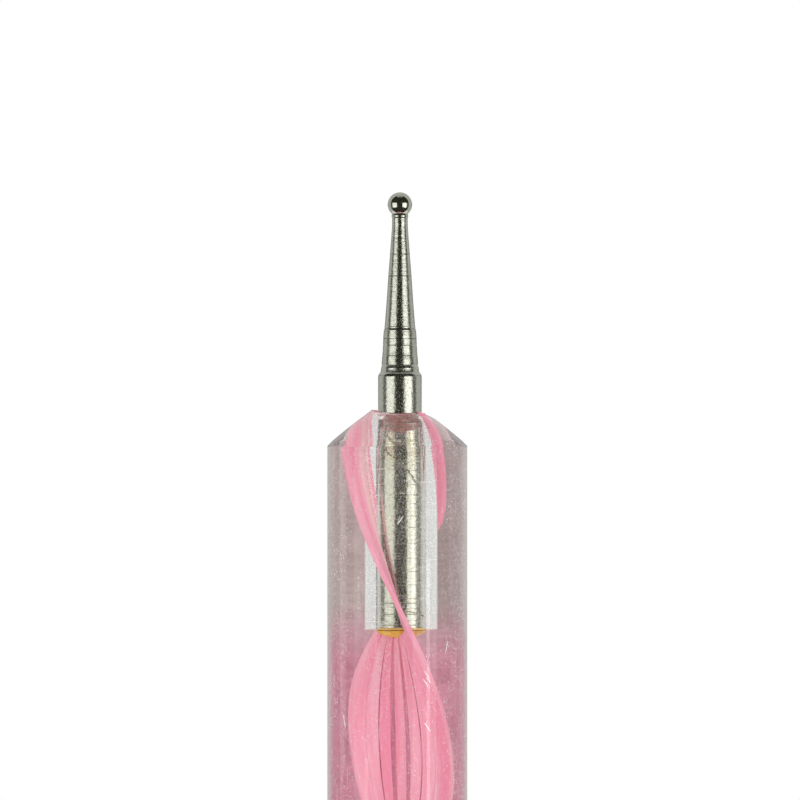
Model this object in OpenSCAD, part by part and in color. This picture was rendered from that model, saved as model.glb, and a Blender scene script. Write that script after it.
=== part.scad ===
// Two-ended embossing stylus: a ball on a turned stem at each end of a clear round handle,
// with a flat ribbon of coloured strands running twisted inside the handle.
// The handle lies along Z, with its middle at the origin. The fine ball points up, the broad one down.

/* [Handle] */
// Length of the clear handle, from end face to end face
handle_len = 105; // [80:1:140]
// Diameter of the handle
handle_d = 8; // [7:0.1:12]
// Length of the cone at each end of the handle
nose_len = 2; // [1:0.1:4]
// Narrowest width of the flat land left round the mouth of each hole
mouth_land = 0.08; // [0.05:0.01:0.4]

/* [Holes for the stems] */
// Depth of each hole, to where its drill point starts
hole_depth = 12.5; // [8:0.5:20]
// Clear gap between a shank and the wall of its hole
hole_gap = 0.15; // [0.05:0.01:0.3]
// How far the holes lie off the middle of the handle, towards +X
hole_offset = 0.15; // [0:0.01:0.3]
// Full angle of the drill point at the bottom of each hole
drill_angle = 140; // [118:1:150]

/* [Stems] */
// Length of each stylus that stands out of the handle, up to the top of its ball
reach = 12.5; // [10:0.5:16]
// Diameter of the shank
shank_d = 2.5; // [2.2:0.1:3]
// Length of plain shank that shows above the handle
collar_len = 2; // [1:0.1:3]
// Height of the curved shoulder between the shank and the lower taper
shoulder_len = 0.7; // [0.4:0.05:1]
// Diameter at the foot of the lower taper
lower_taper_d = 2.08; // [1.9:0.02:2.15]
// Diameter at the top of the lower taper
middle_d = 1.86; // [1.82:0.02:1.9]
// Height of the lower taper
lower_taper_len = 2; // [1:0.1:3]
// Diameter at the foot of the upper taper
upper_taper_d = 1.78; // [1.6:0.02:1.8]
// Length of the straight neck under the ball
neck_len = 0.46; // [0.2:0.02:0.8]
// Bevel round the buried end of the shank
shank_bevel = 0.12; // [0.05:0.01:0.3]

/* [Grooves on the stems] */
// Width of a turned groove
groove_w = 0.08; // [0.04:0.01:0.12]
// Depth of a turned groove
groove_deep = 0.04; // [0.02:0.01:0.08]
// Number of grip grooves near the buried end of the shank
grip_grooves = 3; // [1:1:6]
// Distance from one grip groove to the next
grip_pitch = 0.63; // [0.4:0.01:1]
// Distance from the bevel at the buried end of the shank to the first grip groove
grip_start = 0.16; // [0.1:0.01:1]

/* [Balls] */
// Diameter of the fine ball
fine_ball_d = 1.4; // [1.2:0.05:1.8]
// Diameter of the neck under the fine ball
fine_neck_d = 0.89; // [0.6:0.01:1]
// Diameter of the broad ball
broad_ball_d = 2; // [1.8:0.05:3]
// Diameter of the neck under the broad ball
broad_neck_d = 1.2; // [0.8:0.02:1.4]
// Thickness of the braze between a ball and its stem, measured on the axis
braze_film = 0.07; // [0.03:0.01:0.15]
// How far the bead of braze stands out past the neck
bead_lip = 0.05; // [0.02:0.01:0.1]

/* [Glue] */
// Depth of the ring of glue at the mouth of each hole
glue_ring_deep = 1.2; // [0.5:0.1:3]
// Height of the glue that creeps up the shank
glue_creep = 0.12; // [0.05:0.01:0.3]
// Width of glue lying on the land round the mouth
glue_foot = 0.05; // [0.02:0.01:0.05]
// Thickness of glue between the shank's end and the bottom of its hole
glue_film = 0.05; // [0.02:0.01:0.2]

/* [Ribbon of strands] */
// Number of strands side by side in the ribbon
strand_count = 7; // [3:1:9]
// Width of an inner strand
strand_w = 0.38; // [0.2:0.01:0.4]
// Width of the two strands at the ribbon's edges
edge_strand_w = 0.61; // [0.3:0.01:0.7]
// Gap between one strand and the next
strand_gap = 0.16; // [0.08:0.01:0.2]
// Thickness of the ribbon
strand_t = 0.28; // [0.1:0.02:0.5]
// How far the ribbon's middle lies off the handle's axis, towards its right edge
ribbon_offset = 0.1; // [0:0.01:0.3]
// Length of the handle over which the ribbon makes one full turn
twist_pitch = 32.1; // [20:0.1:60]
// Direction of the ribbon's right edge at the fine end face, turned from +X
ribbon_angle = 146.8; // [0:0.1:360]

/* [Hidden] */
$fn = 64;

handle_r = handle_d / 2;
shank_r = shank_d / 2;
hole_r = shank_r + hole_gap;
land_r = hole_r + hole_offset + mouth_land;
drill_tip = hole_r / tan(drill_angle / 2);
shank_end = -hole_depth + glue_film;

// Tools that cut through a face reach this far past it
past = 1;
// Short straight steps in each turned curve
curve_steps = 6;
// Straight steps in one full turn of the ribbon
steps_a_turn = 36;
// Sides of a strand's outline, which stay whole along the twist
strand_sides = 4;

ribbon_w = (strand_count - 2) * strand_w + 2 * edge_strand_w + (strand_count - 1) * strand_gap;
strand_pitch = strand_w + strand_gap;

acrylic_colour = [0.93, 0.84, 0.87, 0.35];
strand_colour = [0.94, 0.6, 0.7];
nickel_colour = [0.76, 0.76, 0.7];
braze_colour = [0.7, 0.69, 0.62];
glue_colour = [0.85, 0.63, 0.25];

// Puts a piece that is drawn from an end face outwards on the fine (up) or broad (down) end
module on_end(up) {
    translate([hole_offset, 0, 0])
        rotate([up ? 0 : 180, 0, 0])
            translate([0, 0, handle_len / 2])
                children();
}

// Outline of a V groove: its lower edge, its bottom and its upper edge
function groove(z, r) = [
    [r, z - groove_w / 2],
    [r - groove_deep, z],
    [r, z + groove_w / 2]
];

// Radius between two heights of a straight taper
function taper_r(z, z0, r0, z1, r1) = r0 + (r1 - r0) * (z - z0) / (z1 - z0);

// Height of a ball's centre, and of the flat top of its stem, over the end face
function ball_z(ball_d) = reach - ball_d / 2;
function stem_top(ball_d) = reach - ball_d - braze_film;

// The handle's outer form: a round bar with a cone at each end
module handle_form() {
    straight = handle_len / 2 - nose_len;
    rotate_extrude()
        polygon([
            [0, -handle_len / 2],
            [land_r, -handle_len / 2],
            [handle_r, -straight],
            [handle_r, straight],
            [land_r, handle_len / 2],
            [0, handle_len / 2]
        ]);
}

// A drilled hole, open at the end face
module hole() {
    rotate_extrude()
        polygon([
            [0, -hole_depth - drill_tip],
            [hole_r, -hole_depth],
            [hole_r, past],
            [0, past]
        ]);
}

module both_holes() {
    on_end(true) hole();
    on_end(false) hole();
}

// Width of a strand, and the places of its two edges across the ribbon, from the handle's axis
function strand_width(i) = i == 1 || i == strand_count ? edge_strand_w : strand_w;
function strand_left(i) =
    ribbon_offset - ribbon_w / 2 + (i == 1 ? 0 : edge_strand_w + strand_gap + (i - 2) * strand_pitch);
function strand_right(i) = strand_left(i) + strand_width(i);

// A strand that reaches past the holes' walls on every side runs on beside them to the end faces.
// The others end where the drill points start.
function runs_beside_holes(i) = max(-strand_left(i), strand_right(i)) > hole_r + hole_offset;
function bar_len(i) = runs_beside_holes(i) ? handle_len + 2 * past : handle_len - 2 * hole_depth;

// A strand as a twisted bar, before the holes and the cones are cut
module twisted_bar(i) {
    length = bar_len(i);
    turns = length / twist_pitch;
    steps = ceil(turns * steps_a_turn);
    foot_angle = ribbon_angle + 360 * (handle_len + length) / 2 / twist_pitch;
    translate([0, 0, -length / 2])
        rotate([0, 0, foot_angle])
            linear_extrude(height = length, twist = 360 * turns, slices = steps, segments = strand_sides)
                translate([strand_left(i), -strand_t / 2])
                    square([strand_width(i), strand_t]);
}

module handle_rod() {
    color(acrylic_colour)
        difference() {
            handle_form();
            both_holes();
            for (i = [1:strand_count])
                twisted_bar(i);
        }
}

// A strand fills its own channel in the handle and stops at the holes and the cones
module strand(i) {
    color(strand_colour)
        difference() {
            intersection() {
                twisted_bar(i);
                handle_form();
            }
            both_holes();
        }
}

// The turned stem, drawn from the buried end of its shank up to the flat under the braze
module stem(ball_d, neck_d) {
    neck_r = neck_d / 2;
    lower_r = lower_taper_d / 2;
    middle_r = middle_d / 2;
    upper_r = upper_taper_d / 2;
    lower_z = collar_len + shoulder_len;
    middle_z = lower_z + lower_taper_len;
    neck_z = stem_top(ball_d) - neck_len;
    foot_groove_z = lower_z + groove_w;
    grip_z = shank_end + shank_bevel + grip_start;
    grip_outline = [
        for (k = [0:grip_grooves - 1])
            each groove(grip_z + k * grip_pitch, shank_r)
    ];
    shoulder_outline = [
        for (k = [0:curve_steps])
            [
                shank_r - (shank_r - lower_r) * (1 - cos(180 * k / curve_steps)) / 2,
                collar_len + shoulder_len * k / curve_steps
            ]
    ];
    color(nickel_colour)
        rotate_extrude()
            polygon(concat(
                [[0, shank_end], [shank_r - shank_bevel, shank_end], [shank_r, shank_end + shank_bevel]],
                grip_outline,
                shoulder_outline,
                groove(foot_groove_z, taper_r(foot_groove_z, lower_z, lower_r, middle_z, middle_r)),
                [[middle_r, middle_z], [upper_r - groove_deep, middle_z + groove_w / 2]],
                [[upper_r, middle_z + groove_w], [neck_r, neck_z]],
                [[neck_r, stem_top(ball_d)], [0, stem_top(ball_d)]]
            ));
}

module ball(ball_d) {
    color(nickel_colour)
        translate([0, 0, ball_z(ball_d)])
            sphere(d = ball_d);
}

// The bead of braze stands on the stem's flat top and is hollowed by the ball that sits in it
module braze_bead(ball_d, neck_d) {
    neck_r = neck_d / 2;
    low = stem_top(ball_d);
    high = ball_z(ball_d) - sqrt(pow(ball_d / 2, 2) - pow(neck_r, 2));
    bulge = [
        for (k = [0:curve_steps])
            [
                neck_r + bead_lip * sin(180 * k / curve_steps),
                low + (high - low) * k / curve_steps
            ]
    ];
    color(braze_colour)
        difference() {
            rotate_extrude()
                polygon(concat([[0, low]], bulge, [[0, high]]));
            translate([0, 0, ball_z(ball_d)])
                sphere(d = ball_d);
        }
}

// Glue between the shank and the mouth of its hole, with a small foot on the land
module glue_ring() {
    color(glue_colour)
        rotate_extrude()
            polygon([
                [shank_r, -glue_ring_deep],
                [hole_r, -glue_ring_deep],
                [hole_r, 0],
                [hole_r + glue_foot, 0],
                [shank_r, glue_creep]
            ]);
}

// Glue that fills the drill point under the shank's end
module glue_plug() {
    color(glue_colour)
        rotate_extrude()
            polygon([
                [0, -hole_depth - drill_tip],
                [hole_r, -hole_depth],
                [hole_r, shank_end],
                [0, shank_end]
            ]);
}

handle_rod();
for (i = [1:strand_count])
    strand(i);

on_end(true) stem(fine_ball_d, fine_neck_d);  // fine_stem
on_end(true) ball(fine_ball_d);  // fine_ball
on_end(true) braze_bead(fine_ball_d, fine_neck_d);  // fine_braze_bead
on_end(true) glue_ring();  // fine_glue_ring
on_end(true) glue_plug();  // fine_glue_plug

on_end(false) stem(broad_ball_d, broad_neck_d);  // broad_stem
on_end(false) ball(broad_ball_d);  // broad_ball
on_end(false) braze_bead(broad_ball_d, broad_neck_d);  // broad_braze_bead
on_end(false) glue_ring();  // broad_glue_ring
on_end(false) glue_plug();  // broad_glue_plug
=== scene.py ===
import math
import random

import bpy
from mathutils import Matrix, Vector


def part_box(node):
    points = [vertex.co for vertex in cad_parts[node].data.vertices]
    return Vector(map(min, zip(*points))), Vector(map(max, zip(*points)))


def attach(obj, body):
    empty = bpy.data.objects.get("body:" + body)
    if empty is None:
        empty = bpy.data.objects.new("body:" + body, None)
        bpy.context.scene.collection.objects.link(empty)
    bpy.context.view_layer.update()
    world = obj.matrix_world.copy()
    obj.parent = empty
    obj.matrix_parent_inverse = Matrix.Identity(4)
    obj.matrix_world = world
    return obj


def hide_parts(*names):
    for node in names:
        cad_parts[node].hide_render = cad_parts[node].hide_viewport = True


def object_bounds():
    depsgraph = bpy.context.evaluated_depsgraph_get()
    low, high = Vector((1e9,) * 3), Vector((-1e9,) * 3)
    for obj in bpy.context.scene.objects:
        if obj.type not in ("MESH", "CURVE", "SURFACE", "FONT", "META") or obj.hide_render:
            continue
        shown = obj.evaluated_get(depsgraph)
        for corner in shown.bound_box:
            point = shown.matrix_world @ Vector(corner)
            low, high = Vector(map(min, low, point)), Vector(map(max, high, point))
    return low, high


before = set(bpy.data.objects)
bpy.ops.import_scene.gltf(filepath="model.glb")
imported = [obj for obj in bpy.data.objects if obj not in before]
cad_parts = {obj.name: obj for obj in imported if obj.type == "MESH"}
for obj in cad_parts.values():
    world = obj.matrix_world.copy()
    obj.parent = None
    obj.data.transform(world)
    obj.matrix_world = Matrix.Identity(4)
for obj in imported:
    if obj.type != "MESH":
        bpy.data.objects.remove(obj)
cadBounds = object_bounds()
print("frame loaded")

mm = 0.001
white = (1.0, 1.0, 1.0)

# Where the handle and the styluses stand, in millimetres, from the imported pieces
rodLow, rodHigh = (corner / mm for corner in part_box("handle_rod"))
stemLow, stemHigh = (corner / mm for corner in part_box("fine_stem"))
faceZ = rodHigh.z
holeX = (stemLow.x + stemHigh.x) / 2
reach = round(cadBounds[1][2] / mm - faceZ, 3)  # from the handle's end face to the top of the ball


# Meshes

def meshPiece(name, points, faces, material, sharpAngle=24):
    mesh = bpy.data.meshes.new(name)
    mesh.from_pydata([Vector(p) * mm for p in points], [], faces)
    mesh.validate()
    mesh.polygons.foreach_set("use_smooth", [True] * len(mesh.polygons))
    mesh.set_sharp_from_angle(angle=math.radians(sharpAngle))
    mesh.materials.append(material)
    piece = bpy.data.objects.new(name, mesh)
    bpy.context.scene.collection.objects.link(piece)
    return piece


def standsFor(piece, slotName, *nodes):
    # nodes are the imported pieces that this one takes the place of; thin extras have none
    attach(piece, "root")
    if nodes:
        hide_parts(*nodes)


def softened(corners, steps=4, beside=1.8):
    # corners are (radius, height, middle x, rounding)
    # each one becomes a small arc with a ring close on either side
    path = []
    for k, (r, z, x, rounding) in enumerate(corners):
        if rounding == 0 or k in (0, len(corners) - 1):
            path.append((r, z, x))
            continue
        here = Vector((r, z))
        back = (Vector(corners[k - 1][:2]) - here).normalized()
        ahead = (Vector(corners[k + 1][:2]) - here).normalized()
        path.append((*(here + back * rounding * beside), x))
        for s in range(steps + 1):
            t = s / steps
            bend = here + back * rounding * (1 - t) ** 2 + ahead * rounding * t ** 2
            path.append((*bend, x))
        path.append((*(here + ahead * rounding * beside), x))
    return path


def atEnd(rows, up):
    # rows of (radius, height over the end face, rounding if any), set on the hole's axis at either end
    path = [(r, up * (faceZ + z), holeX, *rounding) for r, z, *rounding in rows]
    return path if up > 0 else path[::-1]


def turnedPiece(name, path, spokes, material, warp=None, sharpAngle=24):
    # path runs (radius, height, middle x) from axis to axis, or round a ring and back to its first corner,
    # with the solid on its left
    onAxis = 1e-6
    points, rings = [], []
    for r, z, x in path:
        if r < onAxis:
            rings.append([len(points)])
            points.append((x, 0, z))
            continue
        rings.append(range(len(points), len(points) + spokes))
        for k in range(spokes):
            angle = 2 * math.pi * k / spokes
            wr, wz = warp(r, z, angle) if warp else (r, z)
            points.append((x + wr * math.cos(angle), wr * math.sin(angle), wz))
    faces = []
    for low, high in zip(rings, rings[1:]):
        for k in range(spokes):
            n = (k + 1) % spokes
            if len(low) == 1:
                faces.append((low[0], high[n], high[k]))
            elif len(high) == 1:
                faces.append((low[k], low[n], high[0]))
            else:
                faces.append((low[k], low[n], high[n], high[k]))
    return meshPiece(name, points, faces, material, sharpAngle)


def tubeFaces(sides, length):
    # a closed tube of so many rings, with a lid on either end
    faces = [(a + k, a + (k + 1) % sides, a + sides + (k + 1) % sides, a + sides + k)
             for a in range(0, sides * (length - 1), sides) for k in range(sides)]
    faces.append(tuple(reversed(range(sides))))
    faces.append(tuple(range(sides * (length - 1), sides * length)))
    return faces


def wavy(angle, waves):
    # waves are (height, how often, start)
    return sum(height * math.sin(angle * count + start) for height, count, start in waves)


# Materials

def freshMaterial(name):
    material = bpy.data.materials.new(name)
    material.use_nodes = True
    tree = material.node_tree
    return material, tree, tree.nodes["Principled BSDF"]


def put(tree, kind, values=(), **settings):
    # values are (input, a value or the socket that feeds it)
    node = tree.nodes.new(kind)
    for key, setting in settings.items():
        setattr(node, key, setting)
    for key, value in values:
        if isinstance(value, bpy.types.NodeSocket):
            tree.links.new(value, node.inputs[key])
        else:
            node.inputs[key].default_value = value
    return node


def spotOn(tree):
    # a point of the surface in the piece's own space
    return put(tree, "ShaderNodeTexCoord").outputs["Object"]


def partsOf(tree, vector):
    return put(tree, "ShaderNodeSeparateXYZ", [(0, vector)]).outputs


def stretched(tree, stretch, vector=None):
    values = [("Vector", vector or spotOn(tree)), ("Scale", stretch)]
    return put(tree, "ShaderNodeMapping", values).outputs[0]


def lengthOf(tree, vector):
    return put(tree, "ShaderNodeVectorMath", [(0, vector)], operation="LENGTH").outputs["Value"]


def grain(tree, size, stretch, detail, vector=None):
    # the dictionaries hold grains as (width in millimetres, stretch, detail)
    # a stretch under 1 draws the grain out along that axis
    values = [("Vector", stretched(tree, stretch, vector)), ("Scale", 1 / (size * mm)), ("Detail", detail)]
    return put(tree, "ShaderNodeTexNoise", values).outputs["Fac"]


def ramp(tree, value, low, high, toLow=0.0, toHigh=1.0):
    values = [("Value", value), ("From Min", low), ("From Max", high), ("To Min", toLow), ("To Max", toHigh)]
    return put(tree, "ShaderNodeMapRange", values).outputs["Result"]


def rampMm(tree, value, low, high, toLow=0.0, toHigh=1.0):
    # the same with low and high in millimetres
    return ramp(tree, value, low * mm, high * mm, toLow, toHigh)


def rampDepth(tree, height, first, second):
    # the same between two depths under the end face
    return rampMm(tree, height, faceZ - first, faceZ - second)


def maths(tree, operation, a, b=0.0, clamp=False):
    return put(tree, "ShaderNodeMath", [(0, a), (1, b)], operation=operation, use_clamp=clamp).outputs[0]


def plus(tree, total, *others):
    for other in others:
        total = maths(tree, "ADD", total, other)
    return total


def minus(tree, a, b, clamp=False):
    return maths(tree, "SUBTRACT", a, b, clamp)


def times(tree, product, *others):
    for other in others:
        product = maths(tree, "MULTIPLY", product, other)
    return product


def unsigned(tree, value):
    return maths(tree, "ABSOLUTE", value)


def tinted(tree, share, first, second):
    node = put(tree, "ShaderNodeMix", data_type="RGBA")
    sockets = {s.name: s for s in node.inputs if s.enabled}
    for key, value in (("Factor", share), ("A", first), ("B", second)):
        if isinstance(value, bpy.types.NodeSocket):
            tree.links.new(value, sockets[key])
        else:
            sockets[key].default_value = value if key == "Factor" else (*value, 1)
    return next(s for s in node.outputs if s.enabled)


def bumped(tree, shader, height, depth):
    # depth is in millimetres
    node = put(tree, "ShaderNodeBump", [("Height", height), ("Distance", depth * mm), ("Strength", 1.0)])
    tree.links.new(node.outputs["Normal"], shader.inputs["Normal"])


def layeredMaterial(name, look, width=0.35, detail=4, levels=(0.35, 0.65), relief=0.02):
    # for glue and braze, which set in uneven layers
    material, tree, shader = freshMaterial(name)
    layers = grain(tree, width, look["stretch"], detail)
    colour = tinted(tree, ramp(tree, layers, *levels), look["pale"], look["deep"])
    tree.links.new(colour, shader.inputs["Base Color"])
    shader.inputs["Roughness"].default_value = look["roughness"]
    shader.inputs["Metallic"].default_value = look.get("metallic", 0)
    bumped(tree, shader, layers, relief)
    return material


def mixedShader(tree, share, first, second):
    return put(tree, "ShaderNodeMixShader", [(0, share), (1, first.outputs[0]), (2, second.outputs[0])])


def putOut(tree, shader):
    tree.links.new(shader.outputs[0], tree.nodes["Material Output"].inputs["Surface"])


def seenDirectly(tree):
    # 1 for what the camera, metal and glass see, and 0 for light that falls on a surface
    rays = put(tree, "ShaderNodeLightPath").outputs
    throughGlass = maths(tree, "MAXIMUM", rays["Is Glossy Ray"], rays["Is Transmission Ray"])
    return maths(tree, "MAXIMUM", rays["Is Camera Ray"], throughGlass)


# Handle: one clear bar, coned and drilled at both ends

# The cone is (radius, depth under the end face, rounding), and a drill mark (step, share of its depth)
handle = {
    "radius": 4.0,
    "cone": ((1.5, 0.0, 0.03), (2.23, 0.51, 0.06), (2.96, 1.08, 0.06), (3.66, 1.66, 0.06)),
    "coneDepth": 2.0,
    "cornerRounding": 0.05,
    "holeRadius": 1.4,
    "holeDepth": 12.45,
    "holeRounding": 0.02,
    "drillTip": 0.51,
    "markSeed": 12,
    "firstMark": 1.9,
    "unmarkedEnd": 0.4,
    "markPitch": 0.7,
    "pitchSpread": (0.7, 1.4),
    "markShape": ((-0.07, 0), (-0.03, 0), (0, 1), (0.03, 0), (0.07, 0)),
    "markDepth": 0.02,
    "markAngle": -75,
    "markNarrow": 5,
    "markTilt": 0.05,
    "markDrift": 0.7,
    "wallReach": 0.1,
    "mouthDepth": 0.5,
    "burrReach": 0.3,
    "burrLift": 0.17,
    "burrDip": 0.14,
    "burrTurn": 0.25,
    "burrPower": 1.5,
    "burrWaves": ((0.02, 5, 0), (0.014, 11, 1)),
    "spokes": 224,
}


def coneRows():
    # the cone's outline with the corner where the straight wall starts
    return (*handle["cone"], (handle["radius"], handle["coneDepth"], handle["cornerRounding"]))


def coneDrop(radius):
    # how far the cone lies under the end face at this radius
    rows = coneRows()
    for (r0, d0, _), (r1, d1, _) in zip(rows, rows[1:]):
        if radius < r1:
            return max(d0 + (d1 - d0) * (radius - r0) / (r1 - r0), 0)
    return handle["coneDepth"]


def handlePath():
    h = handle
    # shallow rings that the drill left in the wall of its hole
    dice = random.Random(h["markSeed"])
    wall = []
    depth = h["firstMark"]
    while depth < h["holeDepth"] - h["unmarkedEnd"]:
        wall += [(h["holeRadius"] + h["markDepth"] * share, faceZ - depth - step, holeX, 0)
                 for step, share in h["markShape"]]
        depth += h["markPitch"] * dice.uniform(*h["pitchSpread"])
    floorZ = faceZ - h["holeDepth"]
    end = [(0, floorZ, holeX, 0), (h["holeRadius"], floorZ, holeX, h["holeRounding"])]
    end += wall[::-1]
    end.append((h["holeRadius"], faceZ, holeX, h["holeRounding"]))
    end += [(r, faceZ - drop, 0, rounding) for r, drop, rounding in coneRows()]
    return softened([(r, -z, x, rounding) for r, z, x, rounding in end] + end[::-1])


def burr(r, z, angle):
    # the upper mouth's left side is pushed up a little, and the holes' rings lie at a slight tilt
    h = handle
    rim = h["cone"][0][0]
    if r < rim + h["burrReach"] and z > faceZ - h["burrReach"]:
        side = max(math.cos(angle - math.pi + h["burrTurn"]), 0)
        lift = h["burrLift"] * side ** h["burrPower"] - h["burrDip"] + wavy(angle, h["burrWaves"])
        return r, z + lift * (z - faceZ + h["burrReach"]) / h["burrReach"]
    onWall = abs(r - h["holeRadius"]) < h["wallReach"]
    clearOfMouth = abs(z) < faceZ - h["mouthDepth"]
    if onWall and clearOfMouth:
        near = max(math.cos(angle - math.radians(h["markAngle"])), 0) ** h["markNarrow"]
        tilt = h["markTilt"] * math.sin(angle + z * h["markDrift"])
        return min(r, h["holeRadius"] + h["markDepth"] * near), z + tilt
    return r, z


# Layers of wear are (grain's width, stretch, detail, noise level from, to, haze from, to)
# Zones, angles and depths are pairs between which the effect comes in
acrylic = {
    "tint": (0.95, 0.945, 0.915),
    # the cones' painted pink light from the strands
    "noseStrandLight": (0.95, 0.80, 0.80),
    "lightThrough": (0.97, 0.965, 0.95),
    "roughness": 0.008,
    "lightBending": 1.49,
    "streaks": (0.16, (1, 1, 0.04), 4, 0.35, 0.75, 0.0085, 0.0272),
    "dust": (0.08, (1, 1, 0.8), 2, 0.59, 0.67, 0.0, 0.4),
    "rubbedLines": (0.07, (1, 1, 0.08), 2, 0.6, 0.7, 0.0, 0.2),
    "drillRings": (0.09, (0.07, 0.07, 1), 2, 0.6, 0.68, 0.0, 0.5),
    "clouds": (1.6, (1, 1, 0.5), 4),
    "hazeInClouds": (0.3, 0.7, 0.6, 1.4),
    "dustInClouds": (0.35, 0.6, 0.6, 1.3),
    "holeZone": (1.7, 2.0),
    "holeHaze": 0.3,
    "holeDust": 0.85,
    "backZone": (1.5, -0.5),
    "backDust": 0.15,
    "middleZone": (2.2, 3.2),
    "middleDust": 0.6,
    "frost": 0.27,
    "frostAngles": (0.5, 0.8),
    "noseDepths": (2.04, 1.9),
    "noseAngles": (0.4, 0.6),
    "scratchWidth": 0.032,
    "scratchCore": 0.3,
}

# Single scratches as (way round from the front, depth under the end face, tilt in degrees, length)
scratches = (
    (0.18, 6.17, 35, 0.7),
    (1.73, 14.93, -37, 0.66),
    (1.64, 15.36, -37, 0.6),
    (1.84, 15.23, -37, 0.5),
    (1.74, 17.85, -36, 0.6),
    (1.85, 18.0, -36, 0.4),
    (-3.4, 17.6, -12, 0.9),
    (3.1, 13.4, 15, 0.8),
)


def worn(tree, look):
    size, stretch, detail, *levels = look
    return ramp(tree, grain(tree, size, stretch, detail), *levels)


def scratchMask(tree, around, height, way, depth, tilt, length):
    # 1 within a thin slanted line that thins out to its ends
    aside = minus(tree, around, way * mm)
    above = minus(tree, height, (faceZ - depth) * mm)
    c, s = math.cos(math.radians(tilt)), math.sin(math.radians(tilt))
    across = minus(tree, times(tree, aside, c), times(tree, above, s))
    along = plus(tree, times(tree, aside, s), times(tree, above, c))
    width = acrylic["scratchWidth"]
    thin = rampMm(tree, unsigned(tree, across), width, width * acrylic["scratchCore"])
    ends = rampMm(tree, unsigned(tree, along), length / 2, length / 4)
    return times(tree, thin, ends)


def acrylicMaterial():
    a = acrylic
    material, tree, shader = freshMaterial("worn clear acrylic")
    x, y, z = partsOf(tree, spotOn(tree))
    fromAxis = lengthOf(tree, stretched(tree, (1, 1, 0)))
    clouds = grain(tree, *a["clouds"])
    # a thin haze of fine streaks, thinner on the walls of the holes
    haze = times(tree, worn(tree, a["streaks"]), ramp(tree, clouds, *a["hazeInClouds"]))
    haze = times(tree, haze, rampMm(tree, fromAxis, *a["holeZone"], a["holeHaze"], 1.0))
    # dust and small pits, thicker in some places, and short rubbed lines, fewer at the back
    dust = times(tree, worn(tree, a["dust"]), ramp(tree, clouds, *a["dustInClouds"]))
    wear = plus(tree, dust, worn(tree, a["rubbedLines"]))
    wear = times(tree, wear, rampMm(tree, y, *a["backZone"], a["backDust"], 1.0))
    wear = times(tree, wear, rampMm(tree, fromAxis, *a["holeZone"], a["holeDust"], 1.0))
    # rings that the drill rubbed into the wall of its hole
    rubbed = times(tree, worn(tree, a["drillRings"]), rampMm(tree, fromAxis, *a["holeZone"], 1.0, 0.0))
    wear = times(tree, plus(tree, wear, rubbed),
                 rampMm(tree, unsigned(tree, x), *a["middleZone"], a["middleDust"], 1.0))
    around = times(tree, maths(tree, "ARCTAN2", x, times(tree, y, -1.0)), handle["radius"] * mm)
    for scratch in scratches:
        wear = plus(tree, wear, scratchMask(tree, around, z, *scratch))
    # the surface looks frosted where it is seen at a flat angle
    flat = put(tree, "ShaderNodeLayerWeight", [("Blend", 0.5)]).outputs["Facing"]
    frost = ramp(tree, flat, *a["frostAngles"], 0.0, a["frost"])
    clear = minus(tree, 1.0, plus(tree, haze, wear, frost), clamp=True)
    tree.links.new(clear, shader.inputs["Transmission Weight"])
    # painted pink light from the strands on the cones, strongest where they are seen at a slant
    nose = rampDepth(tree, unsigned(tree, z), *a["noseDepths"])
    pink = times(tree, nose, ramp(tree, flat, *a["noseAngles"]))
    tree.links.new(tinted(tree, pink, a["tint"], a["noseStrandLight"]), shader.inputs["Base Color"])
    shader.inputs["Roughness"].default_value = a["roughness"]
    shader.inputs["IOR"].default_value = a["lightBending"]
    # lamps and soft light go straight through to the strands
    rays = put(tree, "ShaderNodeLightPath").outputs
    unbent = put(tree, "ShaderNodeBsdfTransparent", [("Color", (*a["lightThrough"], 1))])
    softly = mixedShader(tree, rays["Is Diffuse Ray"], shader, unbent)
    putOut(tree, mixedShader(tree, rays["Is Shadow Ray"], softly, unbent))
    return material


def makeHandle():
    piece = turnedPiece("clearHandle", handlePath(), handle["spokes"], acrylicMaterial(), burr, sharpAngle=20)
    standsFor(piece, "clear_acrylic", "handle_rod")
    print("handle made")


# Strands: a flat ribbon of seven that runs twisted in the handle

# The edges are where each strand starts and ends across the ribbon; cutEnd and webEnd are depths at which
# the outer strands' inner edges are back in place under the hole
ribbon = {
    "angle": 146.8,
    "turnLength": 32.1,
    "thickness": 0.25,
    "edges": ((-1.88, -1.224), (-1.219, -0.725), (-0.68, -0.25), (-0.055, 0.33), (0.495, 0.915),
              (0.965, 1.449), (1.454, 2.17)),
    "touching": ((1, 2), (6, 7)),
    "rounding": 0.025,
    "tightRounding": 0.005,
    "ringStep": 0.35,
    "endStep": 0.1,
    "clearance": 0.012,
    "coneClearance": 0.018,
    "edgeReach": 0.04,
    "underHole": 0.05,
    "webGap": 0.004,
    "cutEnd": 13.0,
    "webEnd": 12.4,
    "webFade": 0.5,
    "pinchedStrand": 1,
    "pinch": 0.1,
    "pinchDepth": 7.2,
    "pinchReach": 0.6,
    "pale": (0.88, 0.37, 0.48),
    "main": (0.88, 0.26, 0.39),
    "deep": (0.80, 0.17, 0.30),
    # the web's pink, painted paler as painted light against the shank's shade
    "webWithPaintedLight": (0.94, 0.50, 0.55),
    "webReach": (1.50, 1.48),
    "webBlend": 0.2,
    "streaks": (0.3, (1, 1, 0.03), 4),
    "streakLevels": (0.4, 0.6),
    "fibres": (0.06, (1, 1, 0.05), 2),
    "fibreLevels": (0.55, 0.8),
    "fibreShare": 0.5,
    "fibreRelief": 0.004,
    "roughness": 0.55,
    "shine": 0.15,
}


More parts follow.
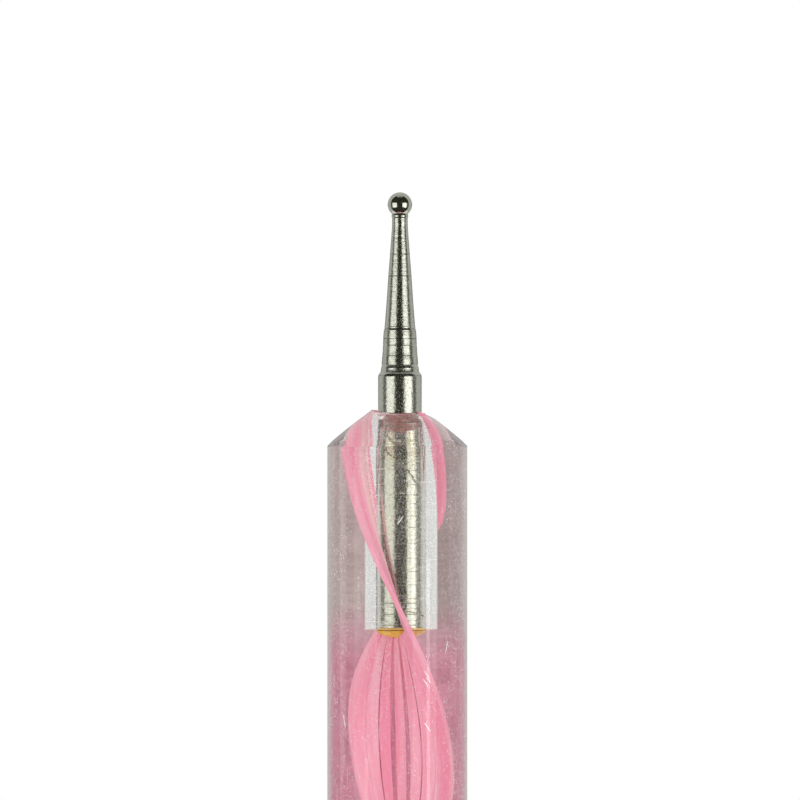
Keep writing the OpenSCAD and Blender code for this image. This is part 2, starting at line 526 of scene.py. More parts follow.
def strandMaterial():
    r = ribbon
    material, tree, shader = freshMaterial("pink strand")
    spot = spotOn(tree)
    height = partsOf(tree, spot)["Z"]
    # turned back by the ribbon's own twist, so that the streaks follow the strands
    twist = times(tree, minus(tree, faceZ * mm, height), 2 * math.pi / (r["turnLength"] * mm))
    back = times(tree, plus(tree, twist, math.radians(r["angle"])), -1.0)
    turned = put(tree, "ShaderNodeVectorRotate", [("Vector", spot), ("Angle", back)], rotation_type="Z_AXIS")
    flat = turned.outputs[0]
    streaks = grain(tree, *r["streaks"], flat)
    fibres = grain(tree, *r["fibres"], flat)
    colour = tinted(tree, ramp(tree, streaks, *r["streakLevels"]), r["pale"], r["main"])
    colour = tinted(tree, ramp(tree, fibres, *r["fibreLevels"], 0.0, r["fibreShare"]), colour, r["deep"])
    # the web beside the holes is pink like the strands, painted paler: painted light that makes up for the
    # metal shank's shade there
    inward = rampMm(tree, unsigned(tree, partsOf(tree, flat)["X"]), *r["webReach"])
    besideHole = rampDepth(tree, unsigned(tree, height), r["webEnd"], r["webEnd"] - r["webBlend"])
    colour = tinted(tree, times(tree, inward, besideHole), colour, r["webWithPaintedLight"])
    tree.links.new(colour, shader.inputs["Base Color"])
    shader.inputs["Roughness"].default_value = r["roughness"]
    shader.inputs["Specular IOR Level"].default_value = r["shine"]
    bumped(tree, shader, fibres, r["fibreRelief"])
    return material


def roundedSlat(left, right, thickness, leftRounding, rightRounding, steps=4):
    points = []
    for side, end, start in ((1, 1, 0), (-1, 1, 90), (-1, -1, 180), (1, -1, 270)):
        rounding = rightRounding if side > 0 else leftRounding
        u = (right if side > 0 else left) - side * rounding
        v = end * (thickness / 2 - rounding)
        for s in range(steps + 1):
            a = math.radians(start + 90 * s / steps)
            points.append((u + rounding * math.cos(a), v + rounding * math.sin(a)))
    return points


def ribbonTurn(z):
    return math.radians(ribbon["angle"] - 360 * (z - faceZ) / ribbon["turnLength"])


def strandPiece(number, material):
    r = ribbon
    holeRadius = handle["holeRadius"]
    left, right = r["edges"][number - 1]
    side = 1 if right > 0 else -1
    inner, outer = (left, right) if side > 0 else (-right, -left)
    besideHoles = outer > holeRadius + holeX
    tightLeft = any(number == second for _, second in r["touching"])
    tightRight = any(number == first for first, _ in r["touching"])
    section = roundedSlat(left, right, r["thickness"], r["tightRounding"] if tightLeft else r["rounding"],
                          r["tightRounding"] if tightRight else r["rounding"])
    innerEnd = faceZ - handle["holeDepth"] - r["underHole"]
    reachZ = faceZ if besideHoles else innerEnd

    def pointAt(u, v, z):
        # u runs across the ribbon, and v through its thickness
        turn = ribbonTurn(z)
        if number == r["pinchedStrand"] and abs(u) > (inner + outer) / 2:
            # pinched a little behind the upper hole
            u *= 1 - r["pinch"] * math.exp(-((faceZ - z - r["pinchDepth"]) / r["pinchReach"]) ** 2)
        if besideHoles and abs(u) < inner + r["edgeReach"]:
            # beside the hole a thin web joins the inner edge to the hole's wall
            direction = turn if side > 0 else turn + math.pi
            across = holeX * math.sin(direction) + side * v
            wall = holeX * math.cos(direction) + math.sqrt((holeRadius + r["webGap"]) ** 2 - across ** 2)
            foot = r["cutEnd"] if wall > inner else r["webEnd"]
            share = (foot - (faceZ - abs(z))) / r["webFade"]
            u += (side * wall - u) * min(max(share, 0), 1)
        return (u * math.cos(turn) - v * math.sin(turn), u * math.sin(turn) + v * math.cos(turn), z)

    def endZ(u, v, up):
        # height at which this line of the strand meets the cone, the end face or the drill point
        x, y, _ = pointAt(u, v, up * reachZ)
        if besideHoles:
            return up * (faceZ - coneDrop(math.hypot(x, y)) - r["coneClearance"])
        drop = max(holeRadius - math.hypot(x - holeX, y), 0) * handle["drillTip"] / holeRadius
        return up * (innerEnd - drop - r["clearance"])

    tops = [endZ(u, v, 1) for u, v in section]
    feet = [endZ(u, v, -1) for u, v in section]
    low, high = max(feet) + r["endStep"], min(tops) - r["endStep"]
    steps = math.ceil((high - low) / r["ringStep"])
    rings = [feet] + [[low + (high - low) * k / steps] * len(section) for k in range(steps + 1)] + [tops]
    points = [pointAt(u, v, z) for ring in rings for (u, v), z in zip(section, ring)]
    faces = tubeFaces(len(section), len(rings))
    piece = meshPiece(f"pinkStrand{number}", points, faces, material, sharpAngle=50)
    standsFor(piece, "pink_strand", f"strand_{number}")


def makeStrands():
    material = strandMaterial()
    for number in range(1, len(ribbon["edges"]) + 1):
        strandPiece(number, material)
    print("strands made")


# Stems: turned metal with a buried shank

stem = {
    "shankRadius": 1.25,
    "buriedEnd": -12.44,
    "bevel": 0.12,
    "bevelRounding": 0.03,
    "gripGrooves": (-12.17, -11.54, -10.91),
    "gripCut": 0.04,
    "gripHalf": 0.045,
    "gripRounding": 0.008,
    "turningMarks": (3.16, 3.76, 4.14, 7.72, 8.98, 9.94),
    "markCut": 0.01,
    "markHalf": 0.025,
    "markEdge": 0.006,
    "markBottom": 0.005,
    "markRoom": 0.08,
    "upperTaper": (4.7, 10.5),
    "neckLength": 0.5,
    "neckRounding": 0.05,
    "topRounding": 0.01,
    "spokes": 128,
}

# As (radius, height over the end face, rounding), from the top of the shank up: the shoulder, small steps,
# the lower taper, the groove, the upper taper and the neck
fineProfile = [
    (1.25, 1.97, 0.04), (1.22, 2.07, 0.03), (1.185, 2.14, 0.015), (1.115, 2.2, 0.015), (1.092, 2.29, 0.02),
    (1.075, 2.4, 0.01), (1.08, 2.44, 0.01), (1.052, 2.55, 0.01), (1.02, 2.6, 0.01), (1.043, 2.65, 0.01),
    (1.029, 2.92, 0.05), (0.985, 3.37, 0.1), (0.956, 4.02, 0.1), (0.948, 4.28, 0.03), (0.928, 4.5, 0.05),
    (0.92, 4.62, 0.015), (0.874, 4.73, 0.01), (0.882, 4.78, 0.01), (0.87, 4.84, 0.02),
    (0.843, 5.2, 0.1), (0.754, 6.34, 0.2), (0.68, 7.49, 0.2), (0.591, 8.63, 0.2), (0.506, 9.77, 0.2),
    (0.452, 10.5, 0.05), (0.446, 11.02, 0.0),
]

styluses = {
    "fine": {"up": 1, "neckRadius": 0.446, "neckTop": 11.03, "ballRadius": 0.7, "beadFoot": 0.445},
    "broad": {"up": -1, "neckRadius": 0.6, "neckTop": 10.43, "ballRadius": 1.0, "beadFoot": 0.6},
}


def withTurningMarks(profile):
    # fine marks cut into the long stretches of the tapers
    s = stem
    body = list(profile)
    for z in s["turningMarks"]:
        for k in range(len(body) - 1):
            (r0, z0, _), (r1, z1, _) = body[k], body[k + 1]
            if z0 + s["markRoom"] < z < z1 - s["markRoom"]:
                r = r0 + (r1 - r0) * (z - z0) / (z1 - z0)
                body[k + 1:k + 1] = [(r, z - s["markHalf"], s["markEdge"]),
                                     (r - s["markCut"], z, s["markBottom"]),
                                     (r, z + s["markHalf"], s["markEdge"])]
                break
    return body


def stemPath(profile, stylus):
    s = stem
    rows = [(0, s["buriedEnd"], 0), (s["shankRadius"] - s["bevel"], s["buriedEnd"], s["bevelRounding"]),
            (s["shankRadius"], s["buriedEnd"] + s["bevel"], s["bevelRounding"])]
    for z in s["gripGrooves"]:
        for step, cut in ((-s["gripHalf"], 0), (0, s["gripCut"]), (s["gripHalf"], 0)):
            rows.append((s["shankRadius"] - cut, z + step, s["gripRounding"]))
    rows += withTurningMarks(profile)
    rows += [(stylus["neckRadius"], stylus["neckTop"], s["topRounding"]), (0, stylus["neckTop"], 0)]
    return softened(atEnd(rows, stylus["up"]))


def broadProfile():
    # the broad end has the same shank and lower taper, and an upper taper that ends in a wider neck
    foot, top = stem["upperTaper"]
    newTop = styluses["broad"]["neckTop"] - stem["neckLength"]
    wider = styluses["broad"]["neckRadius"] - styluses["fine"]["neckRadius"]
    rows = []
    for r, z, rounding in fineProfile[:-2]:
        share = max(z - foot, 0) / (top - foot)
        rows.append((r + share * wider, min(z, foot) + share * (newTop - foot), rounding))
    rows.append((styluses["broad"]["neckRadius"], newTop, stem["neckRounding"]))
    return rows


nickel = {
    "pale": (0.78, 0.79, 0.68),
    "dull": (0.64, 0.65, 0.54),
    "dirt": (0.07, 0.07, 0.05),
    "dirtHeight": 4.69,
    "dirtReach": (0.06, 0.04),
    "dirtEdge": 0.02,
    "dirtLevels": (0.3, 0.7),
    "dirtShare": 0.35,
    "blots": (0.12, (1, 1, 1), 4),
    "blotLevels": (0.4, 0.7),
    "glossLevels": (0.35, 0.7),
    "glossSpread": (0.8, 1.5),
    "patches": (0.9, (1, 1, 0.4), 3),
    "flecks": (0.055, (1, 1, 0.7), 2),
    "fleckLevels": (0.58, 0.66),
    "rings": (0.07, (0.03, 0.03, 1), 3),
    "taperFoot": (2.0, 2.3),
    "taperRings": 3.0,
    "blotRelief": 4.5,
    "turned": {"roughness": 0.17, "relief": 0.0022, "flecked": 1.8},
    "polished": {"roughness": 0.1, "relief": 0.0001, "flecked": 0.6},
}

# Glue smeared on the upper shank; the depths are under the end face
smear = {
    "grain": (0.5, (0.35, 0.35, 2.5), 3),
    "patchLevels": (0.35, 0.55, 0.6, 1.2),
    "smearLevels": (0.35, 0.55),
    "footDepths": (3.6, 1.4),
    "topDepths": (0.1, 0.4),
    "brownDepths": (2.6, 1.9),
    "amber": (0.45, 0.36, 0.17),
    "brown": (0.34, 0.19, 0.14),
    "shares": (0.1, 0.95),
}


def smeared(tree, colour, height, patches):
    # brown right under the glue ring, and amber further down
    zone = times(tree, rampDepth(tree, height, *smear["footDepths"]),
                 rampDepth(tree, height, *smear["topDepths"]))
    spread = times(tree, grain(tree, *smear["grain"]), ramp(tree, patches, *smear["patchLevels"]))
    share = times(tree, zone, ramp(tree, spread, *smear["smearLevels"], *smear["shares"]))
    shade = tinted(tree, rampDepth(tree, height, *smear["brownDepths"]), smear["amber"], smear["brown"])
    return tinted(tree, share, colour, shade)


def nickelMaterial(name, finish, stained=False):
    n = nickel
    roughness = finish["roughness"]
    material, tree, shader = freshMaterial(name)
    height = partsOf(tree, spotOn(tree))["Z"]
    outward = minus(tree, unsigned(tree, height), faceZ * mm)
    blots = grain(tree, *n["blots"])
    colour = tinted(tree, ramp(tree, blots, *n["blotLevels"]), n["pale"], n["dull"])
    # dirt in the groove between the two tapers
    off = unsigned(tree, minus(tree, outward, n["dirtHeight"] * mm))
    edge = ramp(tree, blots, *n["dirtLevels"], -n["dirtEdge"] * mm, n["dirtEdge"] * mm)
    dirt = times(tree, rampMm(tree, plus(tree, off, edge), *n["dirtReach"]), n["dirtShare"])
    colour = tinted(tree, dirt, colour, n["dirt"])
    if stained:
        colour = smeared(tree, colour, height, grain(tree, *n["patches"]))
    tree.links.new(colour, shader.inputs["Base Color"])
    shader.inputs["Metallic"].default_value = 1
    gloss = ramp(tree, blots, *n["glossLevels"], *(roughness * share for share in n["glossSpread"]))
    flecks = ramp(tree, grain(tree, *n["flecks"]), *n["fleckLevels"], 0.0, roughness * finish["flecked"])
    tree.links.new(plus(tree, gloss, flecks), shader.inputs["Roughness"])
    # the tool left coarser rings on the tapers than on the shank
    coarser = rampMm(tree, outward, *n["taperFoot"], 1.0, n["taperRings"])
    rings = times(tree, grain(tree, *n["rings"]), coarser)
    bumped(tree, shader, plus(tree, rings, times(tree, blots, n["blotRelief"])), finish["relief"])
    return material


def makeStems():
    profiles = {"fine": fineProfile, "broad": broadProfile()}
    finishes = {
        "fine": nickelMaterial("turned nickel stained", nickel["turned"], stained=True),
        "broad": nickelMaterial("turned nickel", nickel["turned"]),
    }
    for end, stylus in styluses.items():
        path = stemPath(profiles[end], stylus)
        piece = turnedPiece(f"{end}Stem", path, stem["spokes"], finishes[end], sharpAngle=35)
        standsFor(piece, "nickel_stem", f"{end}_stem")
    print("stems made")


# Balls, each brazed to its neck by a small bead

ball = {
    "rings": 56,
    "spokes": 96,
}

bead = {
    "pale": (0.78, 0.77, 0.68),
    "deep": (0.58, 0.54, 0.42),
    "roughness": 0.2,
    "metallic": 1,
    "stretch": (1, 1, 1),
    "bulge": 0.035,
    "overlap": (0.01, 0.02),
    "lids": (0.98, 0.8),
    "rings": 8,
    "spokes": 72,
}


def ballPath(radius, middleZ):
    angles = [math.pi * (k / ball["rings"] - 0.5) for k in range(ball["rings"] + 1)]
    return [(radius * max(math.cos(a), 0), middleZ + radius * math.sin(a), holeX) for a in angles]


def beadRows(low, high, foot):
    rows = [(0, low), (foot * bead["lids"][0], low)]
    for k in range(bead["rings"] + 1):
        share = k / bead["rings"]
        rows.append((foot + bead["bulge"] * math.sin(math.pi * share), low + (high - low) * share))
    return rows + [(foot * bead["lids"][1], high), (0, high)]


def makeBalls():
    polished = nickelMaterial("polished nickel", nickel["polished"])
    braze = layeredMaterial("dull braze", bead)
    for end, stylus in styluses.items():
        up, radius, foot = stylus["up"], stylus["ballRadius"], stylus["beadFoot"]
        middle = reach - radius
        piece = turnedPiece(f"{end}Ball", ballPath(radius, up * (faceZ + middle)), ball["spokes"], polished)
        standsFor(piece, "polished_ball", f"{end}_ball")
        intoNeck, intoBall = bead["overlap"]
        seat = middle - math.sqrt(radius ** 2 - foot ** 2) + intoBall
        path = atEnd(beadRows(stylus["neckTop"] - intoNeck, seat, foot), up)
        piece = turnedPiece(f"{end}Bead", path, bead["spokes"], braze, sharpAngle=50)
        standsFor(piece, "braze", f"{end}_braze_bead")
    print("balls made")


# Glue: a ring at each mouth, a plug and a fillet at each buried end, and thin threads on the upper shank

# The ring's corners are (distance in from its inner or outer face, height over its foot or under its top)
glueRing = {
    "depth": 1.9,
    "dip": 0.16,
    "creep": 0.06,
    "gap": (0.004, 0.006),
    "footAtShank": ((0.0, 0.06), (0.05, 0.0)),
    "footAtWall": ((0.03, 0.03), (0.0, 0.1)),
    "topAtWall": ((0.0, 0.05), (0.02, 0.0)),
    "creepFrom": 0.04,
    "onWall": -0.6,
    "onShank": -0.5,
    "tongueFoot": 1.2,
    "tongues": ((0.25, 2, 0.6), (0.14, 5, 2), (0.06, 11, 0)),
    "pale": (0.31, 0.10, 0.075),
    "deep": (0.11, 0.026, 0.018),
    "roughness": 0.3,
    "stretch": (0.2, 0.2, 3.5),
    "spokes": 96,
}

gluePlug = {
    "radius": 0.96,
    "depth": 0.46,
    "lid": 0.02,
    "topShare": 0.97,
    "roundness": 1.3,
    "underHole": 0.03,
    "pale": (0.90, 0.52, 0.04),
    "deep": (0.72, 0.35, 0.02),
    "roughness": 0.35,
    "stretch": (1, 1, 1),
    "rings": 8,
    "spokes": 72,
}

glueFillet = {
    "inner": 1.15,
    "upper": 1.262,
    "outer": 1.31,
    "overFloor": 0.006,
    "rim": 0.03,
    "height": 0.1,
    "spokes": 72,
}

# Routes are (angle in degrees round from the front, depth under the end face)
glueThread = {
    "width": 0.05,
    "offShank": 0.045,
    "sides": 6,
    "steps": 6,
    "wobble": ((1.4, 1.3, 0), (0.8, 2.9, 1)),
    "swelling": ((0.3, 1.7, 0),),
    "endShare": 0.35,
    "routes": {
        "upperThread": ((-15, 0.9), (-21, 1.05), (-32, 1.25), (-28, 1.5), (-13, 1.8)),
        "longThread": ((-36, 2.1), (-31, 2.35), (-14, 2.65), (2, 2.95), (13, 3.3), (24, 3.7), (36, 4.15)),
        "lowerThread": ((5, 11.3), (20, 11.42), (33, 11.45), (52, 11.6), (75, 11.8)),
    },
    "pale": (0.36, 0.24, 0.10),
    "deep": (0.16, 0.09, 0.04),
    "roughness": 0.35,
    "stretch": (1, 1, 1),
}


def ringRows():
    g = glueRing
    inner, outer = stem["shankRadius"] + g["gap"][0], handle["holeRadius"] - g["gap"][1]
    foot, top = -g["depth"], -g["dip"]
    buried = [(inner + off, foot + over) for off, over in g["footAtShank"]]
    buried += [(outer - off, foot + over) for off, over in g["footAtWall"]]
    mouth = [(outer - off, top - under) for off, under in g["topAtWall"]]
    mouth += [(inner + g["creepFrom"], top + g["creep"] / 2), (inner, top + g["creep"])]
    # between the two, a ring part of the way up either wall
    return buried + [(outer, g["onWall"])] + mouth + [(inner, g["onShank"]), buried[0]]


def ragged(r, z, angle):
    # the ring's buried edge runs down in uneven tongues
    if faceZ - abs(z) > glueRing["tongueFoot"]:
        z += math.copysign(wavy(angle, glueRing["tongues"]), z)
    return r, z


def plugRows():
    # a rounded cap right under the floor of the hole
    g = gluePlug
    top = -handle["holeDepth"] - g["underHole"]
    rows = [(0, top - g["depth"])]
    for k in range(1, g["rings"] + 1):
        bend = math.radians(90 * k / g["rings"])
        drop = g["lid"] + (g["depth"] - g["lid"]) * math.cos(bend) ** g["roundness"]
        rows.append((g["radius"] * math.sin(bend), top - drop))
    return rows + [(g["radius"] * g["topShare"], top), (0, top)]


def filletRows():
    # what ran round the bevel of the buried end
    g = glueFillet
    foot = g["overFloor"] - handle["holeDepth"]
    corners = [(g["inner"], foot), (g["outer"], foot), (g["outer"], foot + g["rim"]),
               (g["upper"], foot + g["height"])]
    return corners + corners[:1]


def threadPiece(name, route, material):
    # a thin thread of glue, close on the shank
    g = glueThread
    wall, sides = stem["shankRadius"] + g["offShank"], g["sides"]
    line = []
    for (a0, d0), (a1, d1) in zip(route, route[1:]):
        shares = [k / g["steps"] for k in range(g["steps"])]
        line += [(a0 + (a1 - a0) * share, d0 + (d1 - d0) * share) for share in shares]
    line.append(route[-1])
    spots = []
    for k, (a, depth) in enumerate(line):
        a = math.radians(a + wavy(k, g["wobble"]))
        spots.append(Vector((holeX + wall * math.sin(a), -wall * math.cos(a), faceZ - depth)))
    points = []
    last = len(spots) - 1
    for k, spot in enumerate(spots):
        ahead = (spots[min(k + 1, last)] - spots[max(k - 1, 0)]).normalized()
        out = Vector((spot.x - holeX, spot.y, 0)).normalized()
        aside = ahead.cross(out).normalized()
        halfWidth = g["width"] / 2 * (g["endShare"] if k in (0, last) else 1 + wavy(k, g["swelling"]))
        for s in range(sides):
            t = 2 * math.pi * s / sides
            points.append(spot + (aside * math.cos(t) + out * math.sin(t)) * halfWidth)
    piece = meshPiece(name, points, tubeFaces(sides, len(spots)), material, sharpAngle=60)
    standsFor(piece, "amber_glue")


def makeGlue():
    ringGlue = layeredMaterial("brown glue", glueRing)
    plugGlue = layeredMaterial("amber glue", gluePlug)
    for end, stylus in styluses.items():
        path = atEnd(ringRows(), stylus["up"])
        ring = turnedPiece(f"{end}GlueRing", path, glueRing["spokes"], ringGlue, ragged, sharpAngle=50)
        standsFor(ring, "amber_glue", f"{end}_glue_ring")
        path = atEnd(plugRows(), stylus["up"])
        plug = turnedPiece(f"{end}GluePlug", path, gluePlug["spokes"], plugGlue, sharpAngle=50)
        standsFor(plug, "amber_glue", f"{end}_glue_plug")
        path = atEnd(filletRows(), stylus["up"])
        fillet = turnedPiece(f"{end}GlueFillet", path, glueFillet["spokes"], plugGlue, sharpAngle=50)
        standsFor(fillet, "amber_glue")
    threadGlue = layeredMaterial("thin brown glue", glueThread)
    for name, route in glueThread["routes"].items():
        threadPiece(name, route, threadGlue)
    print("glue made")


# Studio: pale and dark cards all round, which only metal and glass see

# Azimuth 0 is the camera's side, and 90 is to its right. A row is (radius, height), and the cards behind the
# stems are (radius, lower and upper height beyond the handle's end).
studio = {
    "cardRadius": 160,
    "cardTop": 102,
    "cardFoot": rodLow.z - 12,
    "columnStep": 4,
    "roof": (6, 170),
    "azimuths": {
        "rearRight": (94, 175),
        "rearLeft": (185, 262),
        "rearRoof": (94, 262),
        "rearTopWide": (135, 220),
        "rearTopDark": (165, 195),
        "rearFootWide": (135, 220),
        "rearFootDark": (165, 195),
        "sideGapRight": (67, 94),
        "sideGapLeft": (-98, -75),
        "cameraSide": (-29, 25),
        "frontRoof": (-98, 94),
        "rightBox": (25, 67),
        "leftBox": (-75, -29),
        "rightStrip": (48.6, 55),
        "leftStrip": (-55, -48.6),
        "rightRoofBox": (20, 67),
        "leftRoofBox": (-67, -20),
        "darkTable": (-98, 94),
    },
    "dark": 0.024,
    "darkTint": (1.0, 1.0, 0.75),
    "gap": 0.1,
    "straightGap": 0.55,
    "straightDark": 0.85,
    "rearGrey": 0.47,
    "rearMiddle": 0.27,
    "rightBox": 1.35,
    "leftBox": 1.1,
    "roofBox": 0.9,
    "roofBoxRows": ((60, 150), (20, 162)),
    "rightStrip": 4.2,
    "leftStrip": 2.52,
    "rightStripTop": 40.7,
    "leftStripTop": 25,
    "stripInset": 3,
    "rearWide": (157, 0.9, 24),
    "rearDark": (12, 3, 11),
    "tableRadius": 15,
    "tableHeight": -8,
}


def glowMaterial(name, strength, colour=white):
    material = bpy.data.materials.new(name)
    material.use_nodes = True
    tree = material.node_tree
    tree.nodes.remove(tree.nodes["Principled BSDF"])
    glow = put(tree, "ShaderNodeEmission", [("Color", (*colour, 1)), ("Strength", strength)])
    putOut(tree, glow)
    return material, tree, glow


def paleInStraightView(tree, glow, dark, colour, pale):
    # dark for what the metal mirrors, also through the handle, and pale for a look straight through it
    mirrored = ramp(tree, put(tree, "ShaderNodeLightPath").outputs["Glossy Depth"], 0.0, 1.0)
    tree.links.new(tinted(tree, mirrored, white, colour), glow.inputs["Color"])
    tree.links.new(ramp(tree, mirrored, 0.0, 1.0, pale, dark), glow.inputs["Strength"])


def cardSeenBy(card, metal, glass):
    card.visible_camera = False
    card.visible_diffuse = False
    card.visible_shadow = False
    card.visible_glossy = metal
    card.visible_transmission = glass


def studioCard(name, rows, strength, colour=white, glass=True, straight=None):
    # rows are the lower and the upper edge as (radius, height)
    first, last = studio["azimuths"][name]
    across = math.ceil((last - first) / studio["columnStep"])
    points = []
    for radius, z in rows:
        for column in range(across + 1):
            a = math.radians(first + (last - first) * column / across)
            points.append((radius * math.sin(a), -radius * math.cos(a), z))
    above = across + 1
    faces = [(c, c + 1, above + c + 1, above + c) for c in range(across)]
    material, tree, glow = glowMaterial(name, strength, colour)
    if straight:
        paleInStraightView(tree, glow, strength, colour, straight)
    cardSeenBy(meshPiece(name, points, faces, material), True, glass)


def uprightCard(name, strength, colour=white, high=studio["cardTop"], inset=0, straight=None):
    radius = studio["cardRadius"] - inset
    rows = ((radius, studio["cardFoot"]), (radius, high))
    studioCard(name, rows, strength, colour, straight=straight)


def roofCard(name, strength, colour=white):
    rows = ((studio["cardRadius"], studio["cardTop"]), studio["roof"])
    studioCard(name, rows, strength, colour)


def rearMiddleCard(name, radius, heights, up, strength, colour=white):
    # beyond the handle's end, so that it darkens the stem and not the handle's edges
    rows = [(radius, z) for z in sorted(up * (faceZ + height) for height in heights)]
    studioCard(name, rows, strength, colour, glass=False)


def standCards():
    s = studio
    dark, tint = s["dark"], s["darkTint"]
    uprightCard("rearRight", s["rearGrey"])
    uprightCard("rearLeft", s["rearGrey"])
    roofCard("rearRoof", s["rearGrey"])
    for end, up in (("Top", 1), ("Foot", -1)):
        radius, *heights = s["rearWide"]
        rearMiddleCard(f"rear{end}Wide", radius, heights, up, s["rearMiddle"])
        radius, *heights = s["rearDark"]
        rearMiddleCard(f"rear{end}Dark", radius, heights, up, dark, tint)
    for side in ("Right", "Left"):
        uprightCard(f"sideGap{side}", s["gap"], straight=s["straightGap"])
    uprightCard("cameraSide", dark, tint, straight=s["straightDark"])
    roofCard("frontRoof", dark, tint)
    for name in ("rightBox", "leftBox"):
        uprightCard(name, s[name])
    for name in ("rightStrip", "leftStrip"):
        uprightCard(name, s[name], high=s[f"{name}Top"], inset=s["stripInset"])
    for side in ("right", "left"):
        studioCard(f"{side}RoofBox", s["roofBoxRows"], s["roofBox"], glass=False)
    tableRows = [(radius, s["tableHeight"]) for radius in (s["tableRadius"], s["cardRadius"])]
    studioCard("darkTable", tableRows, dark, tint, glass=False)


# Paper: a sheet close behind the tool, seen only through the clear handle; it glows with a painted shadow of
# the handle and painted pink light from the ribbon

# Painted shadow colours are from the sheet's middle line outward, at the given distances
paper = {
    "behind": 4.3,
    "halfWidth": 30,
    "beyondEnds": 8,
    "middle": -0.08,
    "distances": (0.0, 0.3, 0.95, 1.2, 1.7, 3.2),
    # the handle's painted shadow beside the holes, and painted shadow with pink light beside the ribbon
    "besideHoles": ((0.44, 0.33, 0.325), (0.44, 0.33, 0.325), (0.45, 0.34, 0.34), (0.49, 0.41, 0.395),
                    (0.54, 0.48, 0.46), (0.70, 0.72, 0.72)),
    "pinkLightBesideRibbon": ((0.54, 0.14, 0.24), (0.57, 0.19, 0.285), (0.58, 0.25, 0.33), (0.61, 0.33, 0.39),
                     (0.63, 0.43, 0.47), (0.70, 0.62, 0.64)),
    "holeDepths": (14.2, 11.0),
    "blotches": (0.2, (2.5, 1, 0.15), 4),
    "blotchEdge": 0.12,
    "edgeLevels": (0.3, 0.7),
    "blotchShades": (0.35, 0.65, 0.92, 1.06),
    "grain": (0.14, (2.5, 1, 0.8), 3),
    "grainShades": (0.35, 0.7, 0.93, 1.14),
    "rightShade": 0.87,
    "rightFrom": (-0.1, 0.4),
    "rightReach": (2.0, 1.0),
}


def paintedShadowShades(tree, across, colours):
    steps = paper["distances"]
    colour = colours[0]
    for near, far, farColour in zip(steps, steps[1:], colours[1:]):
        colour = tinted(tree, rampMm(tree, across, near, far), colour, farColour)
    return colour


def hangPaper():
    # painted shadow of the handle, and painted pink light where the whole ribbon throws its colour on it
    p = paper
    material, tree, glow = glowMaterial("painted shadow sheet", 1.0)
    x, _, z = partsOf(tree, spotOn(tree))
    blotches = grain(tree, *p["blotches"])
    across = plus(tree, unsigned(tree, minus(tree, x, p["middle"] * mm)),
                  ramp(tree, blotches, *p["edgeLevels"], -p["blotchEdge"] * mm, p["blotchEdge"] * mm))
    holes = rampDepth(tree, unsigned(tree, z), *p["holeDepths"])
    colour = tinted(tree, holes, paintedShadowShades(tree, across, p["pinkLightBesideRibbon"]),
                    paintedShadowShades(tree, across, p["besideHoles"]))
    tree.links.new(colour, glow.inputs["Color"])
    strength = times(tree, ramp(tree, blotches, *p["blotchShades"]),
                     ramp(tree, grain(tree, *p["grain"]), *p["grainShades"]))
    # painted shade: a little darker on its right side beside the holes
    right = times(tree, rampMm(tree, x, *p["rightFrom"]), rampMm(tree, across, *p["rightReach"]), holes)
    strength = times(tree, strength, minus(tree, 1.0, times(tree, right, 1 - p["rightShade"])))
    tree.links.new(strength, glow.inputs["Strength"])
    w, y = p["halfWidth"], p["behind"]
    low, high = rodLow.z - p["beyondEnds"], rodHigh.z + p["beyondEnds"]
    points = [(-w, y, low), (w, y, low), (w, y, high), (-w, y, high)]
    cardSeenBy(meshPiece("paintedShadowSheet", points, [(0, 1, 2, 3)], material), False, True)


# Lamps, world and floor

# Places and sizes are in millimetres
lamps = {
    "aim": (0, 0, 20),
    "keyLamp": {"place": (420, -420, 350), "size": 350, "power": 1.1},
    "fillLamp": {"place": (-500, -350, 200), "size": 400, "power": 0.75},
    "plainLight": 0.78,
}

floor = {
    "underTool": 0.02,
    "radius": 500,
    "sides": 96,
    "fade": (100, 480),
    "colour": (0.93, 0.93, 0.92),
    "roughness": 0.9,
}


def hangLamp(name):
    look = lamps[name]
    light = bpy.data.lights.new(name, "AREA")
    light.shape = "SQUARE"
    light.size = look["size"] * mm
    light.energy = look["power"]
    lamp = bpy.data.objects.new(name, light)
    bpy.context.scene.collection.objects.link(lamp)
    lamp.location = Vector(look["place"]) * mm
    lamp.rotation_euler = (Vector(lamps["aim"]) - Vector(look["place"])).to_track_quat("-Z", "Y").to_euler()
    lamp.visible_glossy = False
    lamp.visible_transmission = False


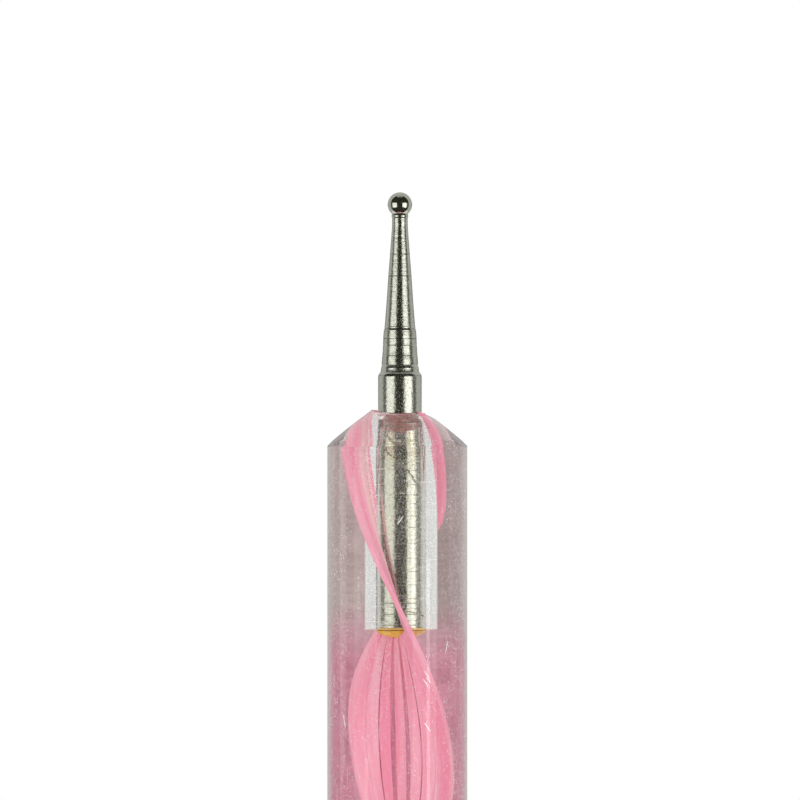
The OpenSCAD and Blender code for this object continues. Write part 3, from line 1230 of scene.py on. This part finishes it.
def whiteWorld():
    # white for what is seen, and a plain light for what it falls on
    world = bpy.data.worlds.new("plain white")
    bpy.context.scene.world = world
    world.use_nodes = True
    tree = world.node_tree
    tree.nodes.clear()
    plain, seen = (put(tree, "ShaderNodeBackground", [("Color", (*white, 1)), ("Strength", strength)])
                   for strength in (lamps["plainLight"], 1.0))
    output = put(tree, "ShaderNodeOutputWorld")
    tree.links.new(mixedShader(tree, seenDirectly(tree), plain, seen).outputs[0], output.inputs["Surface"])


def paleFloor():
    # a pale round floor that fades into the white behind it, and keeps the tool's shadow
    f = floor
    material, tree, shader = freshMaterial("pale floor")
    shader.inputs["Base Color"].default_value = (*f["colour"], 1)
    shader.inputs["Roughness"].default_value = f["roughness"]
    shader.inputs["Specular IOR Level"].default_value = 0
    near, far = (distance * mm for distance in f["fade"])
    fade = [("Value", lengthOf(tree, spotOn(tree))), ("From Min", near), ("From Max", far)]
    edge = put(tree, "ShaderNodeMapRange", fade, interpolation_type="SMOOTHSTEP").outputs["Result"]
    bright = put(tree, "ShaderNodeEmission", [("Strength", 1.0)])
    putOut(tree, mixedShader(tree, times(tree, seenDirectly(tree), edge), shader, bright))
    points = [(0, 0, 0)]
    for k in range(f["sides"]):
        a = 2 * math.pi * k / f["sides"]
        points.append((f["radius"] * math.cos(a), f["radius"] * math.sin(a), 0))
    faces = [(0, 1 + k, 1 + (k + 1) % f["sides"]) for k in range(f["sides"])]
    piece = meshPiece("paleFloor", points, faces, material)
    piece.location.z = cadBounds[0][2] - f["underTool"] * mm


# Camera: level, as the photo was taken

photoCamera = {
    "lens": 315,
    "sensor": 36,
    "away": 400,
    "right": 0.155,
    "overFace": 0.63,
    "nearClip": 10,
}


def aimCamera():
    c = photoCamera
    data = bpy.data.cameras.new("photoCamera")
    data.lens = c["lens"]
    data.sensor_width = c["sensor"]
    data.clip_start = c["nearClip"] * mm
    camera = bpy.data.objects.new("photoCamera", data)
    bpy.context.scene.collection.objects.link(camera)
    camera.location = Vector((c["right"], -c["away"], faceZ + c["overFace"])) * mm
    camera.rotation_euler = (math.pi / 2, 0, 0)
    bpy.context.scene.camera = camera
    bpy.context.scene.view_settings.view_transform = "Standard"


# The tool from the inside out, and then the studio

makeStrands()
makeHandle()
makeStems()
makeBalls()
makeGlue()
standCards()
hangPaper()
hangLamp("keyLamp")
hangLamp("fillLamp")
whiteWorld()
paleFloor()
aimCamera()
print("studio made")
